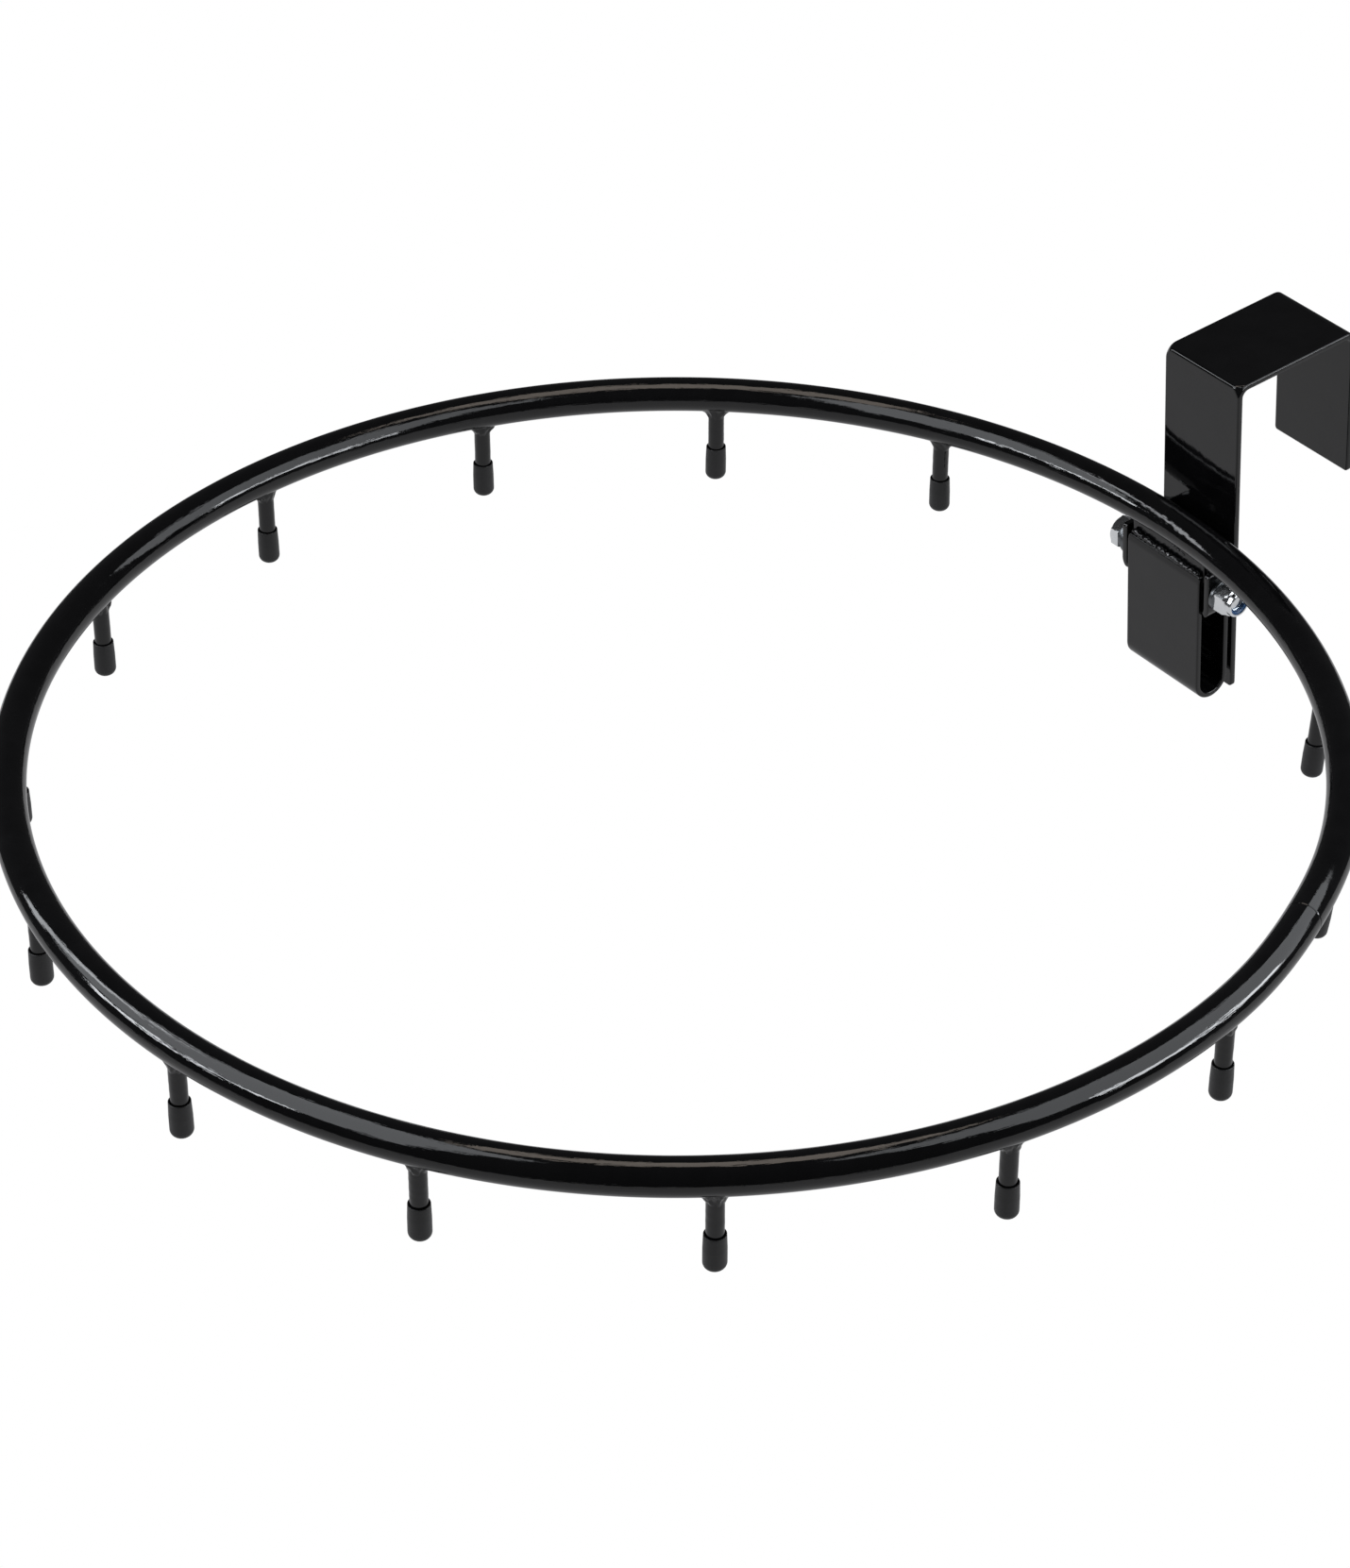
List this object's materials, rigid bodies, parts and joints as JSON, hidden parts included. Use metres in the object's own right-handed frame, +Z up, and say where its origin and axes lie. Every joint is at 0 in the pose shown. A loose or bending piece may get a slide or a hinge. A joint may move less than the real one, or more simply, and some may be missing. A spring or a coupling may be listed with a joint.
{
  "type": "round garment rack",
  "caption": "Black steel ring with capped pegs beneath it, hinged on a bolt below a flat-bar hook that drops over a panel's top edge, for hanging garments on display.",
  "frame": {"origin": "middle of the underside of the hook's top plate, the face that sits on the panel's top edge", "axes": "+Z up along the hook's legs; +Y from the ring towards the panel and the hook's back leg; +X along the hinge bolt, from its head towards its nut"},
  "size_m": [0.4576, 0.5208, 0.1304],
  "materials": {
    "black_enamel": "gloss black enamel on steel",
    "cap_rubber": "satin black soft vinyl",
    "zinc_plate": "bright zinc plate",
    "blue_nylon": "translucent blue nylon"
  },
  "bodies": {
    "hook_side": {"hook": "black_enamel", "hinge_saddle": "black_enamel", "saddle_weld": "black_enamel", "hinge_bolt": "zinc_plate", "flat_washers": "zinc_plate", "spring_washer": "zinc_plate", "lock_nut": "zinc_plate", "nut_insert": "blue_nylon"},
    "ring_side": {"ring_tube": "black_enamel", "ring_seam_weld": "black_enamel", "peg_01": "black_enamel", "peg_02": "black_enamel", "peg_03": "black_enamel", "peg_04": "black_enamel", "peg_05": "black_enamel", "peg_06": "black_enamel", "peg_07": "black_enamel", "peg_08": "black_enamel", "peg_09": "black_enamel", "peg_10": "black_enamel", "peg_11": "black_enamel", "peg_12": "black_enamel", "peg_13": "black_enamel", "peg_14": "black_enamel", "peg_weld_01": "black_enamel", "peg_weld_02": "black_enamel", "peg_weld_03": "black_enamel", "peg_weld_04": "black_enamel", "peg_weld_05": "black_enamel", "peg_weld_06": "black_enamel", "peg_weld_07": "black_enamel", "peg_weld_08": "black_enamel", "peg_weld_09": "black_enamel", "peg_weld_10": "black_enamel", "peg_weld_11": "black_enamel", "peg_weld_12": "black_enamel", "peg_weld_13": "black_enamel", "peg_weld_14": "black_enamel", "cap_01": "cap_rubber", "cap_02": "cap_rubber", "cap_03": "cap_rubber", "cap_04": "cap_rubber", "cap_05": "cap_rubber", "cap_06": "cap_rubber", "cap_07": "cap_rubber", "cap_08": "cap_rubber", "cap_09": "cap_rubber", "cap_10": "cap_rubber", "cap_11": "cap_rubber", "cap_12": "cap_rubber", "cap_13": "cap_rubber", "cap_14": "cap_rubber", "stem_plate": "black_enamel", "stem_weld": "black_enamel", "hinge_barrel": "black_enamel", "barrel_weld": "black_enamel", "stop_strap": "black_enamel", "strap_weld": "black_enamel"}
  },
  "joints": [
    {"name": "ring_tilt", "type": "hinge", "parent": "hook_side", "child": "ring_side", "pos_m": [0, -0.038, -0.079], "axis": [-1, 0, 0], "range_deg": [0, 18]}
  ]
}
